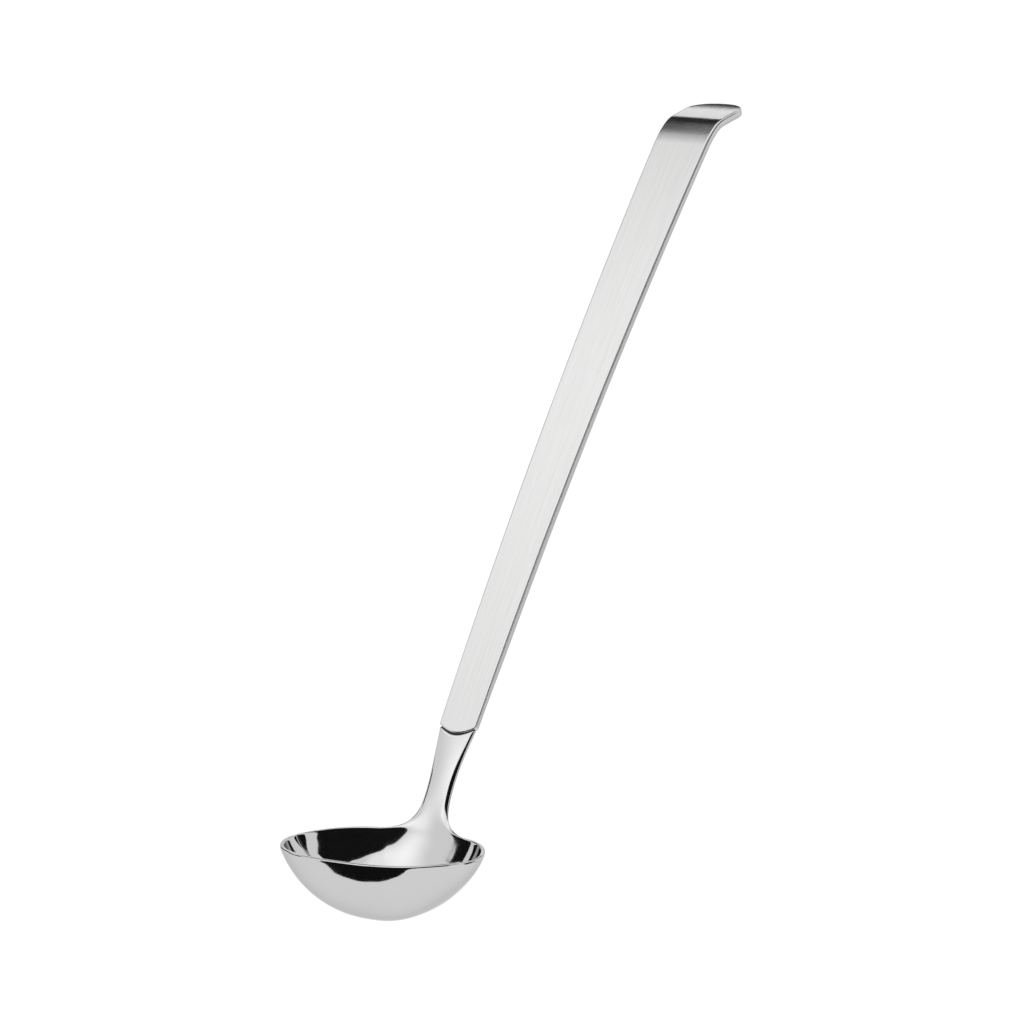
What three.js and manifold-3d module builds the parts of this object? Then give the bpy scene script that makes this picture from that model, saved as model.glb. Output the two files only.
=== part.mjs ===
// Sauce ladle: an oval bowl with two pouring lips and a waisted neck, pressed from one sheet,
// and a flat tapered handle bar whose top end is bent back into a hook. The neck ends in a
// thin tongue that lies in a pocket on the back of the bar and is held there by a weld bead.
// Millimetres, +Z up, +Y towards the handle, +X to the right of someone who holds the ladle.
// The origin is the middle of the hook's underside, where the ladle hangs.

import * as THREE from "three";
import Module from "manifold-3d";

const wasm = await Module();
wasm.setup();

// Bowl
const bowlHalfWidth = 30;
const bowlHalfLength = 23.2;
const bowlDepth = 21.5;
const bowlWall = 1.8;
const ovalPower = 2.6;
const rimLean = 16;
const lipReach = 3.3;
const lipHalfWidth = 9;
const lipHeight = 9;
const lipDrop = 0.7;

// Neck, measured along its front face from the rim to the end of the handle bar
const neckLength = 32;
const neckLean = 29.3;
const neckTurn = 5.2;
const neckWaist = 7.7;
const neckTopWidth = 12;
const waistHeight = 14.5;
const neckFlare = 3;
const rootBlend = 4;
const neckEdgeDrop = 0.5;
const neckEdgePower = 6;
const neckTaperPower = 1.6;
const crescentGap = 0.9;

// Handle bar and hook
const barLength = 206;
const barThickness = 2.5;
const barLowerWidth = 12.8;
const barUpperWidth = 18.6;
const barTurn = 7.1;
const barEndSag = 2;
const barEndBlend = 9;
const barEdgeRadius = 0.45;
const edgeLimit = 1 / 3;
const bendRadius = 11.5;
const hookRise = 7.5;
const hookLength = 16.8;
const hookRounding = 9;
const hookBluntness = 0.95;

// Joint between neck and bar
const tongueLength = 13;
const tongueWidth = 7.6;
const tongueThickness = 1.1;
const weldLength = 1.6;
const weldEdge = 0.3;
const clearance = 0.3;

// Fineness of the facets
const columns = 120;
const wallRows = 13;
const rootColumns = 13;
const neckRows = 17;
const rowCrowding = 1.8;
const endBlendRows = 3;
const barStep = 8;
const bendRows = 8;
const endRows = 9;
const faceColumns = 5;

const radians = THREE.MathUtils.degToRad;
const smooth = THREE.MathUtils.smoothstep;
const mix = THREE.MathUtils.lerp;
const rimTilt = radians(90 - rimLean);

// The line of the front face in the YZ plane: arcs that follow each other, each with its turn
class BentLine {
  constructor(start, lean, arcs) {
    this.pieces = [];
    let here = { y: start.y, z: start.z, lean };
    let along = 0;
    for (const arc of arcs) {
      this.pieces.push({ ...here, along, length: arc.length, bend: arc.turn / arc.length });
      here = this.onPiece(this.pieces.at(-1), arc.length);
      along += arc.length;
    }
    this.length = along;
  }

  onPiece(piece, distance) {
    const lean = piece.lean + piece.bend * distance;
    if (piece.bend === 0) {
      return {
        y: piece.y + distance * Math.sin(lean),
        z: piece.z + distance * Math.cos(lean),
        lean,
      };
    }
    return {
      y: piece.y + (Math.cos(piece.lean) - Math.cos(lean)) / piece.bend,
      z: piece.z + (Math.sin(lean) - Math.sin(piece.lean)) / piece.bend,
      lean,
    };
  }

  // The point at a distance along the line, moved sideways by x and inwards by depth
  point(distance, x, depth) {
    const piece = this.pieces.findLast((each) => each.along <= distance) ?? this.pieces[0];
    const spot = this.onPiece(piece, distance - piece.along);
    const y = spot.y + depth * Math.cos(spot.lean);
    const z = spot.z - depth * Math.sin(spot.lean);
    return new THREE.Vector3(x, y, z);
  }
}

const barTopLean = radians(neckLean + neckTurn + barTurn);
const hookTurn = radians(90 - hookRise) - barTopLean;
const bendLength = bendRadius * hookTurn;
const spine = new BentLine({ y: bowlHalfLength - bowlWall, z: 0 }, radians(neckLean), [
  { length: neckLength, turn: radians(neckTurn) },
  { length: barLength, turn: radians(barTurn) },
  { length: bendLength, turn: hookTurn },
  { length: hookLength, turn: 0 },
]);
const bendStart = neckLength + barLength;
const hookStart = bendStart + bendLength;

// A mesh under construction: points by number, and triangles that share them
class Facets {
  constructor() {
    this.points = [];
    this.triangles = [];
  }

  add(point) {
    this.points.push(point);
    return this.points.length - 1;
  }

  triangle(a, b, c) {
    this.triangles.push([a, b, c]);
  }

  quad(a, b, c, d) {
    this.triangle(a, b, c);
    this.triangle(a, c, d);
  }

  strip(lower, upper) {
    for (let i = 0; i + 1 < lower.length; i += 1) {
      this.quad(lower[i], lower[i + 1], upper[i + 1], upper[i]);
    }
  }

  solid() {
    const vertProperties = new Float32Array(this.points.flatMap((point) => point.toArray()));
    const triVerts = new Uint32Array(this.triangles.flat());
    return new wasm.Manifold(new wasm.Mesh({ numProp: 3, vertProperties, triVerts }));
  }
}

function toGeometry(solid) {
  const mesh = solid.getMesh();
  const geometry = new THREE.BufferGeometry();
  geometry.setAttribute("position", new THREE.BufferAttribute(mesh.vertProperties, 3));
  geometry.setIndex(new THREE.BufferAttribute(mesh.triVerts, 1));
  geometry.computeVertexNormals();
  return geometry;
}

// Bowl: an oval arc swung round, with a lip pressed out on the left and on the right
function ovalRadius(angle, inset) {
  const across = Math.abs(Math.cos(angle) / (bowlHalfWidth - inset)) ** ovalPower;
  const along = Math.abs(Math.sin(angle) / (bowlHalfLength - inset)) ** ovalPower;
  return (across + along) ** (-1 / ovalPower);
}

function lipShare(angle, fall) {
  const offset = Math.abs(bowlHalfWidth * Math.sin(angle));
  if (offset >= lipHalfWidth) {
    return 0;
  }
  const across = Math.cos((Math.PI / 2) * (offset / lipHalfWidth)) ** 2;
  return across * (1 - smooth(fall, 0, lipHeight));
}

function bowlPoint(angle, share, inset) {
  const tilt = share * rimTilt;
  const reach = Math.sin(tilt) / Math.sin(rimTilt);
  const drop = (Math.cos(tilt) - Math.cos(rimTilt)) / (1 - Math.cos(rimTilt));
  const fall = (bowlDepth - inset) * drop;
  const lip = lipShare(angle, fall);
  const radius = ovalRadius(angle, inset) * reach + lipReach * lip;
  const z = -fall - lipDrop * lip;
  return new THREE.Vector3(radius * Math.cos(angle), radius * Math.sin(angle), z);
}

// Neck: half its width at a distance along it, from the flared root over the waist to the top
function neckHalfWidth(distance, rootHalfWidth) {
  const waist = neckWaist / 2;
  const flare = (rootHalfWidth - waist) * Math.exp(-distance / neckFlare);
  const above = Math.max(0, distance - waistHeight) / (neckLength - waistHeight);
  return waist + flare + (neckTopWidth / 2 - waist) * above ** neckTaperPower;
}

function barEndLine(offset) {
  return neckLength + barEndSag * offset ** 2;
}

function neckEndLine(offset) {
  return barEndLine(offset) - clearance - crescentGap * (1 - offset ** 2);
}

// One face of the head: the bowl's rings, then the neck's rows, then the tongue's two rows
function headSheet(facets, face) {
  const inset = face === "front" ? bowlWall : 0;
  const centre = facets.add(bowlPoint(0, 0, inset));
  const rings = [];
  for (let row = 1; row <= wallRows; row += 1) {
    const ring = [];
    for (let column = 0; column < columns; column += 1) {
      const angle = Math.PI / 2 + ((column - rootColumns) / columns) * 2 * Math.PI;
      ring.push(facets.add(bowlPoint(angle, row / wallRows, inset)));
    }
    rings.push(ring);
  }
  const rim = rings.at(-1);
  const root = rim.slice(0, 2 * rootColumns + 1);
  const rootPoints = root.map((index) => facets.points[index]);
  const rootHalfWidth = rootPoints[0].x;

  const rows = [root];
  for (let row = 1; row <= neckRows; row += 1) {
    const indices = rootPoints.map((rootPoint, column) => {
      const side = 1 - column / rootColumns;
      const distance = neckEndLine(side) * (row / neckRows) ** rowCrowding;
      const fade = Math.exp(-distance / rootBlend);
      const thickness = mix(bowlWall, barThickness, smooth(distance, 0, waistHeight));
      const crown = neckEdgeDrop * Math.abs(side) ** neckEdgePower * smooth(distance, 0, waistHeight);
      const depth = face === "front" ? crown : thickness - crown;
      const flat = spine.point(distance, side * neckHalfWidth(distance, rootHalfWidth), depth);
      const rootDepth = face === "front" ? 0 : bowlWall;
      const start = spine.point(0, side * rootHalfWidth, rootDepth);
      const bulge = rootPoint.clone().sub(start).multiplyScalar(fade);
      return facets.add(flat.add(bulge));
    });
    rows.push(indices);
  }
  const tongueDepth = face === "front" ? barThickness - tongueThickness : barThickness;
  for (const end of [0, 1]) {
    const indices = rootPoints.map((rootPoint, column) => {
      const side = 1 - column / rootColumns;
      const x = (side * tongueWidth) / 2;
      const foot = neckEndLine((2 * x) / neckTopWidth);
      const distance = mix(foot, neckLength + tongueLength, end);
      return facets.add(spine.point(distance, x, tongueDepth));
    });
    rows.push(indices);
  }
  return { centre, rings, rows };
}

function coverSheet(facets, sheet, flip) {
  const turn = (list) => (flip ? [...list].reverse() : list);
  const first = sheet.rings[0];
  for (let column = 0; column < columns; column += 1) {
    const pair = turn([first[column], first[(column + 1) % columns]]);
    facets.triangle(sheet.centre, pair[0], pair[1]);
  }
  for (let row = 1; row < wallRows; row += 1) {
    const inner = sheet.rings[row - 1];
    const outer = sheet.rings[row];
    facets.strip(turn([...outer, outer[0]]), turn([...inner, inner[0]]));
  }
  for (let row = 1; row < sheet.rows.length; row += 1) {
    facets.strip(turn(sheet.rows[row]), turn(sheet.rows[row - 1]));
  }
}

// The edge of a sheet, once round: along the rim, up one side of the neck, over and down
function sheetEdge(sheet) {
  const rim = sheet.rings.at(-1);
  const above = sheet.rows.slice(1);
  const far = above.map((row) => row.at(-1));
  const near = above.map((row) => row[0]);
  const top = above.at(-1).slice(1, -1);
  return [
    ...rim.slice(2 * rootColumns),
    rim[0],
    ...near,
    ...top,
    ...[...far].reverse(),
  ];
}

function head() {
  const facets = new Facets();
  const front = headSheet(facets, "front");
  const back = headSheet(facets, "back");
  coverSheet(facets, front, false);
  coverSheet(facets, back, true);
  const frontEdge = sheetEdge(front);
  const backEdge = sheetEdge(back);
  facets.strip([...backEdge, backEdge[0]], [...frontEdge, frontEdge[0]]);
  return facets.solid();
}

// A bar along the spine: sections with rounded edges, and a face at each end
function sectionSide(halfWidth, edge) {
  const flat = halfWidth - edge;
  const slant = edge * (1 - Math.SQRT1_2);
  const side = [
    { x: halfWidth, depth: edge },
    { x: halfWidth - slant, depth: slant },
  ];
  for (let column = 0; column < faceColumns; column += 1) {
    side.push({ x: mix(flat, -flat, column / (faceColumns - 1)), depth: 0 });
  }
  side.push({ x: slant - halfWidth, depth: slant });
  side.push({ x: -halfWidth, depth: edge });
  return side;
}

function barSolid(sections) {
  const facets = new Facets();
  const fronts = [];
  const backs = [];
  for (const section of sections) {
    const side = sectionSide(section.halfWidth, section.edge);
    const place = (spot, depth) => {
      const offset = spot.x / section.halfWidth;
      return facets.add(spine.point(section.distance(offset), spot.x, depth));
    };
    fronts.push(side.map((spot) => place(spot, section.top + spot.depth)));
    backs.push(side.map((spot) => place(spot, section.bottom - spot.depth)));
  }
  for (let row = 1; row < sections.length; row += 1) {
    facets.strip(fronts[row], fronts[row - 1]);
    facets.strip(backs[row - 1], backs[row]);
    facets.quad(fronts[row - 1][0], backs[row - 1][0], backs[row][0], fronts[row][0]);
    facets.quad(
      backs[row - 1].at(-1),
      fronts[row - 1].at(-1),
      fronts[row].at(-1),
      backs[row].at(-1),
    );
  }
  facets.strip(fronts[0], backs[0]);
  facets.strip(backs.at(-1), fronts.at(-1));
  return facets.solid();
}

function barHalfWidth(distance) {
  const share = (distance - neckLength) / barLength;
  return mix(barLowerWidth, barUpperWidth, Math.min(share, 1)) / 2;
}

function barDistances() {
  const distances = [];
  for (let i = 0; i <= endBlendRows; i += 1) {
    distances.push(neckLength + (barEndBlend * i) / endBlendRows);
  }
  const count = Math.ceil((barLength - barEndBlend) / barStep);
  for (let i = 1; i <= count; i += 1) {
    distances.push(mix(neckLength + barEndBlend, bendStart, i / count));
  }
  for (let i = 1; i <= bendRows; i += 1) {
    distances.push(bendStart + (bendLength * i) / bendRows);
  }
  const roundingStart = spine.length - hookRounding;
  for (let i = 0; i <= endRows; i += 1) {
    const turn = (Math.PI / 2) * hookBluntness * (i / endRows);
    distances.push(roundingStart + hookRounding * Math.sin(turn));
  }
  return distances;
}

function handle() {
  const sections = barDistances().map((along) => {
    const pastRounding = Math.max(0, along - (spine.length - hookRounding)) / hookRounding;
    const halfWidth = barHalfWidth(along) * Math.sqrt(1 - pastRounding ** 2);
    const fade = Math.max(0, 1 - (along - neckLength) / barEndBlend);
    return {
      distance: (offset) => along + barEndSag * offset ** 2 * fade,
      halfWidth,
      edge: Math.min(barEdgeRadius, barThickness * edgeLimit, halfWidth * edgeLimit),
      top: 0,
      bottom: barThickness,
    };
  });
  return barSolid(sections).subtract(pocket());
}

// Pocket on the back of the bar, for the tongue and the bead behind it
function pocket() {
  const start = neckLength - barEndSag - clearance;
  const end = neckLength + tongueLength + clearance + weldLength + clearance;
  const sections = [start, end].map((along) => ({
    distance: () => along,
    halfWidth: tongueWidth / 2 + clearance,
    edge: clearance / 2,
    top: barThickness - tongueThickness - clearance,
    bottom: barThickness + tongueThickness,
  }));
  return barSolid(sections);
}

function weldBead() {
  const start = neckLength + tongueLength + clearance;
  const sections = [start, start + weldLength].map((along) => ({
    distance: () => along,
    halfWidth: tongueWidth / 2,
    edge: Math.min(weldEdge, tongueThickness * edgeLimit),
    top: barThickness - tongueThickness,
    bottom: barThickness,
  }));
  return barSolid(sections);
}

function piece(name, solid, material) {
  const mesh = new THREE.Mesh(toGeometry(solid), material);
  mesh.name = name;
  return mesh;
}

const polished = new THREE.MeshStandardMaterial({ color: 0xe4e5e6, roughness: 0.06, metalness: 1 });
const brushed = new THREE.MeshStandardMaterial({ color: 0xd4d4d3, roughness: 0.34, metalness: 1 });
const welded = new THREE.MeshStandardMaterial({ color: 0xbdbcb9, roughness: 0.45, metalness: 1 });

const seat = spine.point(hookStart + (hookLength - hookRounding) / 2, 0, barThickness);
const ladle = new THREE.Group();
ladle.position.copy(seat).negate();
ladle.add(piece("head", head(), polished));
ladle.add(piece("handle", handle(), brushed));
ladle.add(piece("weld_bead", weldBead(), welded));

const model = new THREE.Group();
model.add(ladle);

export default model;
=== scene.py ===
import math

import bpy
from mathutils import Matrix, Vector


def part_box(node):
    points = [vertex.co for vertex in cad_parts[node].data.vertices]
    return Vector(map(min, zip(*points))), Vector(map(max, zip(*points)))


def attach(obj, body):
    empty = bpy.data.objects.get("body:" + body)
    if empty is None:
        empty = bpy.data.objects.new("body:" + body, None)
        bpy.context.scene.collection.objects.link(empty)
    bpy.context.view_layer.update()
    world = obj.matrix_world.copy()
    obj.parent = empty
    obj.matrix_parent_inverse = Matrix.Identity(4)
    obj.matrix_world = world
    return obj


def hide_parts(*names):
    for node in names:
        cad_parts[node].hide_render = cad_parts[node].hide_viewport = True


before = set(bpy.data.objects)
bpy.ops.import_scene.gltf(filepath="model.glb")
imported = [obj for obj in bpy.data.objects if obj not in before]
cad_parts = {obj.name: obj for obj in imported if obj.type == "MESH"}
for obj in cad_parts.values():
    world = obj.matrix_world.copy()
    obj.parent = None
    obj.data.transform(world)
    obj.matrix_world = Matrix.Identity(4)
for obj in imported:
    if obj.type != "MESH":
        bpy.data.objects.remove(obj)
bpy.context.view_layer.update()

bl_info = {
    "name": "Sauce ladle",
    "version": (1, 0, 0),
    "blender": (4, 5, 0),
    "location": "View3D > Sidebar > Ladle",
    "description": "Models a steel sauce ladle and the studio it is shown in",
    "category": "Add Mesh",
}

HEAD_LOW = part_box("head")[0]
PHOTO_WIDTH = 1024
SENSOR_WIDTH = 36.0
MERGE_DISTANCE = 1e-6
WHITE = (1.0, 1.0, 1.0, 1.0)


def length(name, default, description):
    """A size in metres that a user may change."""
    return bpy.props.FloatProperty(
        name=name,
        description=description,
        default=default,
        precision=5,
        unit="LENGTH",
    )


def angle(name, degrees, description):
    """An angle that a user may change."""
    return bpy.props.FloatProperty(
        name=name,
        description=description,
        default=math.radians(degrees),
        unit="ROTATION",
    )


def share(name, default, description):
    """A plain number that a user may change."""
    return bpy.props.FloatProperty(name=name, description=description, default=default, precision=4)


def tint(name, default, description):
    """A colour that a user may change."""
    return bpy.props.FloatVectorProperty(
        name=name,
        description=description,
        default=default,
        size=3,
        subtype="COLOR",
        min=0.0,
        max=1.0,
    )


class HeadSizes(bpy.types.PropertyGroup):
    """Sizes of the bowl and its neck."""

    half_width: length("Half width", 0.030, "Bowl from its middle to the side, without the lip")
    half_length: length("Half length", 0.0232, "Bowl from its middle to the front or back")
    depth: length("Depth", 0.0215, "Outside depth of the bowl below its rim")
    wall: length("Wall", 0.0014, "Thickness of the bowl's sheet")
    neck_inset: length("Neck inset", 0.0018, "Start of the neck's front inside the bowl's outline")
    oval_power: share("Oval fullness", 2.6, "2 is an ellipse, and more makes the corners fuller")
    rim_lean: angle("Rim lean", 16, "Lean of the wall outwards at the rim")
    lip_reach: length("Lip reach", 0.0029, "How far a pouring lip stands out")
    lip_spread: length("Lip spread", 0.0085, "How far a pouring lip spreads along the rim")
    lip_height: length("Lip height", 0.014, "How far down the wall a lip is pressed out")
    lip_drop: length("Lip drop", 0.0004, "How far the rim dips at a lip")
    neck_length: length("Neck length", 0.03155, "Neck from the rim to the handle")
    neck_lean: angle("Neck lean", 29.3, "Lean of the neck backwards at the rim")
    neck_turn: angle("Neck turn", 5.2, "Turn of the neck from the rim to the handle")
    waist: length("Waist", 0.0094, "Least width of the neck")
    waist_height: length("Waist height", 0.0145, "Distance of the waist from the rim")
    neck_top: length("Neck top", 0.0123, "Width of the neck at the handle")
    taper_power: share("Taper", 1.6, "How late the neck widens above its waist")
    flare: length("Flare", 0.0025, "Distance over which the neck's root narrows")
    root_blend: length("Root blend", 0.003, "Distance over which the rim's curve goes flat")
    crown: length("Crown", 0.0003, "How far the neck's front curves back to its sides")
    swell: length("Swell", 0.0038, "Greatest thickness of the neck")
    swell_start: length("Swell start", 0.002, "Where above the rim that thickness is reached")
    swell_end: length("Swell end", 0.016, "Where above the rim the neck starts to get thinner")
    rib_spread: length("Rib spread", 0.007, "Distance to both sides over which the back is thicker")
    rib_depth: length("Rib depth", 0.012, "Depth below the rim down to which the back is thicker")
    edge_share: share("Edge rounding", 0.30, "Rounding of the neck's edges, as a share of its thickness")
    edge_share_top: share("Edge rounding at the top", 0.12, "The same where the neck is thin")
    bulge: length("Bulge", 0.0013, "How far the back of the rim and the neck's root lie back")
    bulge_spread: length("Bulge spread", 0.013, "Distance to both sides over which the rim lies back")
    bulge_depth: length("Bulge depth", 0.010, "Depth below the rim down to which the wall lies back")
    bulge_end: length("Bulge end", 0.026, "Distance above the rim at which the neck is back on its line")
    rim_rise: length("Rim rise", 0.0003, "Extra height of the form, which rounding the rim takes off")
    seam: length("Seam", 0.00045, "Width of the groove between neck and handle, in its middle")
    seam_end: length("Seam end", 0.0002, "Width of the groove at its ends")
    clearance: length("Clearance", 0.0003, "Gap between pieces that meet")


class HandleSizes(bpy.types.PropertyGroup):
    """Sizes of the handle bar, its hook and its joint with the neck."""

    bar_length: length("Bar length", 0.20235, "Bar from the neck to the bend")
    thickness: length("Thickness", 0.0025, "Thickness of the bar")
    end_share: share("Thinning", 0.8, "Share of that thickness at the neck's top and the bar's lower end")
    thin_length: length("Thin length", 0.008, "Length of the thin lower end")
    thick_start: length("Thick start", 0.032, "Where on the bar its full thickness starts")
    lower_width: length("Lower width", 0.0128, "Width of the bar at the neck")
    upper_width: length("Upper width", 0.0186, "Width of the bar at the hook")
    bow: angle("Bow", 7.1, "Turn of the bar from the neck to the bend")
    end_sag: length("End sag", 0.0023, "Height of the arc at the lower end of the bar")
    end_blend: length("End blend", 0.009, "Length of the bar over which that arc fades")
    edge_radius: length("Edge radius", 0.0006, "Rounding of the bar's long edges")
    ease_radius: length("Ease radius", 0.030, "Radius of the soft start of the bend")
    ease_length: length("Ease length", 0.008, "Length of the soft start of the bend")
    bend_radius: length("Bend radius", 0.0115, "Radius of the bend at the hook")
    hook_rise: angle("Hook rise", 11.0, "Rise of the hook towards its tip")
    hook_length: length("Hook length", 0.0165, "Length of the hook behind its bend")
    tip_length: length("Tip length", 0.011, "Length of the hook's tip that turns down")
    tip_drop: length("Tip drop", 0.0010, "How far the tip turns down")
    hook_rounding: length("Hook rounding", 0.0089, "Corner radius at the hook's tip")
    tongue_length: length("Tongue length", 0.013, "Length of the neck's tongue behind the bar")
    tongue_width: length("Tongue width", 0.0076, "Width of the tongue")
    tongue_thickness: length("Tongue thickness", 0.0011, "Thickness of the tongue")
    weld_length: length("Weld length", 0.0016, "Length of the bead behind the tongue")


class FinishColours(bpy.types.PropertyGroup):
    """Colours of the steel and of the studio."""

    polished: tint("Polished steel", (0.58, 0.58, 0.58), "Colour of the bowl and neck")
    polished_edge: tint("Polished edge", (0.7, 0.7, 0.7), "Tint of the bowl and neck at a glancing angle")
    brushed: tint("Brushed steel", (0.612, 0.612, 0.609), "Colour of the handle")
    brushed_edge: tint("Brushed edge", (0.65, 0.65, 0.65), "Tint of the handle at a glancing angle")
    welded: tint("Weld", (0.45, 0.44, 0.42), "Colour of the weld bead")
    floor: tint("Floor", (0.9, 0.9, 0.9), "Colour of the floor")
    # Painted shade: near-black colour of the fill that stands in for the shade in the groove between neck
    # and handle
    seam: tint("Seam", (0.02, 0.02, 0.02), "Colour of the dark weld in the groove")
    card: tint("Dark card", (0.008, 0.008, 0.008), "Colour of the dark cards round the ladle")
    card_grey: tint("Grey card", (0.8, 0.8, 0.8), "Colour of the card that the handle's side shows")


class StudioSizes(bpy.types.PropertyGroup):
    """Places of the camera, floor, cards and lamps."""

    view_azimuth: angle("View azimuth", 35.0, "Camera to the right of the ladle's front")
    view_elevation: angle("View elevation", 12.7, "Camera above the rim")
    view_roll: angle("View roll", 0.75, "Turn of the picture about its middle")
    view_distance: length("View distance", 2.283, "Camera from the middle of the rim")
    view_scale: share("View scale", 3450.0, "Pixels of the picture per metre at the rim")
    rim_across: share("Rim across", 382.2, "Picture column of the middle of the rim")
    rim_down: share("Rim down", 846.6, "Picture row of the middle of the rim")
    floor_drop: length("Floor drop", 1.25, "Floor below the rim")
    floor_size: length("Floor size", 40.0, "Side of the floor")
    floor_glow: share("Floor glow", 1.05, "Light of the floor's white, as the camera and the steel see it")
    floor_glow_share: share("Floor glow share", 0.7, "Share of that white beside the floor's shadow")
    tip_distance: length("Tip distance", 0.2, "From the hook to the card that its tip shows")
    card_distance: length("Card distance", 1.1, "Cards from the ladle")
    lamp_distance: length("Lamp distance", 2.5, "Lamp from the ladle")
    lamp_size: length("Lamp size", 1.5, "Side of the lamp")
    lamp_power: share("Lamp power", 8.0, "Watts of the lamp")
    lamp_azimuth: angle("Lamp azimuth", -35.0, "Lamp from the ladle's front")
    lamp_elevation: angle("Lamp elevation", 48.0, "Lamp above the rim")


def rim_middle(head):
    """The middle of the bowl's rim."""
    return Vector((0.0, HEAD_LOW[1] + head.half_length, HEAD_LOW[2] + head.depth))


class Spine:
    """The line of the front face, from the rim over neck and bar to the hook's tip."""

    def __init__(self, head, handle):
        back = HEAD_LOW[1] + 2 * head.half_length - head.neck_inset
        self.start = Vector((0.0, back, HEAD_LOW[2] + head.depth))
        bar_top = head.neck_lean + head.neck_turn + handle.bow
        ease_turn = handle.ease_length / handle.ease_radius
        hook_turn = math.pi / 2 - handle.hook_rise - bar_top - ease_turn
        bend_length = handle.bend_radius * hook_turn
        self.bar_start = head.neck_length
        self.bend_start = self.bar_start + handle.bar_length
        self.hook_start = self.bend_start + handle.ease_length + bend_length
        self.end = self.hook_start + handle.hook_length
        self.handle = handle
        stretches = (
            (head.neck_length, head.neck_turn),
            (handle.bar_length, handle.bow),
            (handle.ease_length, ease_turn),
            (bend_length, hook_turn),
            (handle.hook_length, 0.0),
        )
        self.arcs = []
        here = (self.start.y, self.start.z, head.neck_lean)
        along = 0.0
        for size, turn in stretches:
            self.arcs.append((along, here, turn / size))
            here = self.on_arc(here, turn / size, size)
            along += size

    def on_arc(self, here, bend, distance):
        """Place and lean at a distance along one arc."""
        y, z, lean = here
        new_lean = lean + bend * distance
        if bend == 0.0:
            return y + distance * math.sin(lean), z + distance * math.cos(lean), lean
        return (
            y + (math.cos(lean) - math.cos(new_lean)) / bend,
            z + (math.sin(new_lean) - math.sin(lean)) / bend,
            new_lean,
        )

    def point(self, distance, across, depth):
        """The point at a distance along the line, moved sideways and behind the front face."""
        along, here, bend = self.arcs[0]
        for arc in self.arcs:
            if arc[0] <= distance:
                along, here, bend = arc
        y, z, lean = self.on_arc(here, bend, distance - along)
        behind = depth * self.depth_share(distance) + self.tip_drop(distance)
        return Vector((across, y + behind * math.cos(lean), z - behind * math.sin(lean)))

    def depth_share(self, distance):
        """Share of the full thickness at a distance: less along the neck and the bar's lower end."""
        handle = self.handle
        rise = smooth_step(distance - self.bar_start, handle.thin_length, handle.thick_start)
        return mix(handle.end_share, 1.0, rise)

    def tip_drop(self, distance):
        """How far the hook's tip has turned down at a distance."""
        part = max(0.0, distance - self.end + self.handle.tip_length) / self.handle.tip_length
        return self.handle.tip_drop * part**2


def smooth_step(value, low, high):
    """0 below low, 1 above high and a soft change between them."""
    part = min(max((value - low) / (high - low), 0.0), 1.0)
    return part * part * (3.0 - 2.0 * part)


def mix(low, high, part):
    """The value a part of the way from low to high."""
    return low + (high - low) * part


def start_piece(name, add, **settings):
    """Adds a primitive as the only selected object and opens it in edit mode."""
    if bpy.context.object and bpy.context.object.mode != "OBJECT":
        bpy.ops.object.mode_set(mode="OBJECT")
    bpy.ops.object.select_all(action="DESELECT")
    add(**settings)
    piece = bpy.context.object
    piece.name = name
    piece.data.name = name
    bpy.ops.object.mode_set(mode="EDIT")
    return piece


def choose_edges(piece, test):
    """In edit mode, selects the edges whose two ends pass a test, and nothing else."""
    bpy.ops.mesh.select_mode(type="EDGE")
    bpy.ops.mesh.select_all(action="DESELECT")
    bpy.ops.object.mode_set(mode="OBJECT")
    points = piece.data.vertices
    for edge in piece.data.edges:
        edge.select = test([points[index].co for index in edge.vertices])
    bpy.ops.object.mode_set(mode="EDIT")


def cut(place, normal, **settings):
    """In edit mode, cuts the whole mesh at a plane."""
    bpy.ops.mesh.select_all(action="SELECT")
    bpy.ops.mesh.bisect(plane_co=place, plane_no=normal, **settings)


def reshape(piece, rule):
    """Moves each vertex to where the rule puts it."""
    for vertex in piece.data.vertices:
        vertex.co = rule(vertex.co.copy())
    piece.data.update()


def apply_modifier(piece, kind, **settings):
    """Adds a modifier and applies it."""
    bpy.context.view_layer.objects.active = piece
    modifier = piece.modifiers.new(kind.title(), kind)
    for name, value in settings.items():
        setattr(modifier, name, value)
    bpy.ops.object.modifier_apply(modifier=modifier.name)


def face_outwards(piece):
    """Merges doubles and points every face outwards."""
    bpy.ops.object.select_all(action="DESELECT")
    piece.select_set(True)
    bpy.context.view_layer.objects.active = piece
    bpy.ops.object.mode_set(mode="EDIT")
    bpy.ops.mesh.select_all(action="SELECT")
    bpy.ops.mesh.remove_doubles(threshold=MERGE_DISTANCE)
    bpy.ops.mesh.normals_make_consistent(inside=False)
    bpy.ops.object.mode_set(mode="OBJECT")


def finish_piece(piece, node, material, crease):
    """Shades a piece, gives it its finish and puts it in the place of its CAD node."""
    bpy.ops.object.select_all(action="DESELECT")
    piece.select_set(True)
    bpy.context.view_layer.objects.active = piece
    bpy.ops.object.shade_smooth_by_angle(angle=crease)
    piece.data.materials.clear()
    piece.data.materials.append(material)
    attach(piece, "root")
    if node:
        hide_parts(node)


class Socket:
    """A socket of a finish, with the sums that the finishes use."""

    def __init__(self, finish, socket):
        self.finish = finish
        self.socket = socket

    def math(self, operation, first, second):
        return self.finish.node("ShaderNodeMath", {"operation": operation}, {0: first, 1: second})

    def __add__(self, other):
        return self.math("ADD", self, other)

    def __radd__(self, other):
        return self.math("ADD", other, self)

    def __sub__(self, other):
        return self.math("SUBTRACT", self, other)

    def __rsub__(self, other):
        return self.math("SUBTRACT", other, self)

    def __mul__(self, other):
        return self.math("MULTIPLY", self, other)

    def __rmul__(self, other):
        return self.math("MULTIPLY", other, self)


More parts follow.
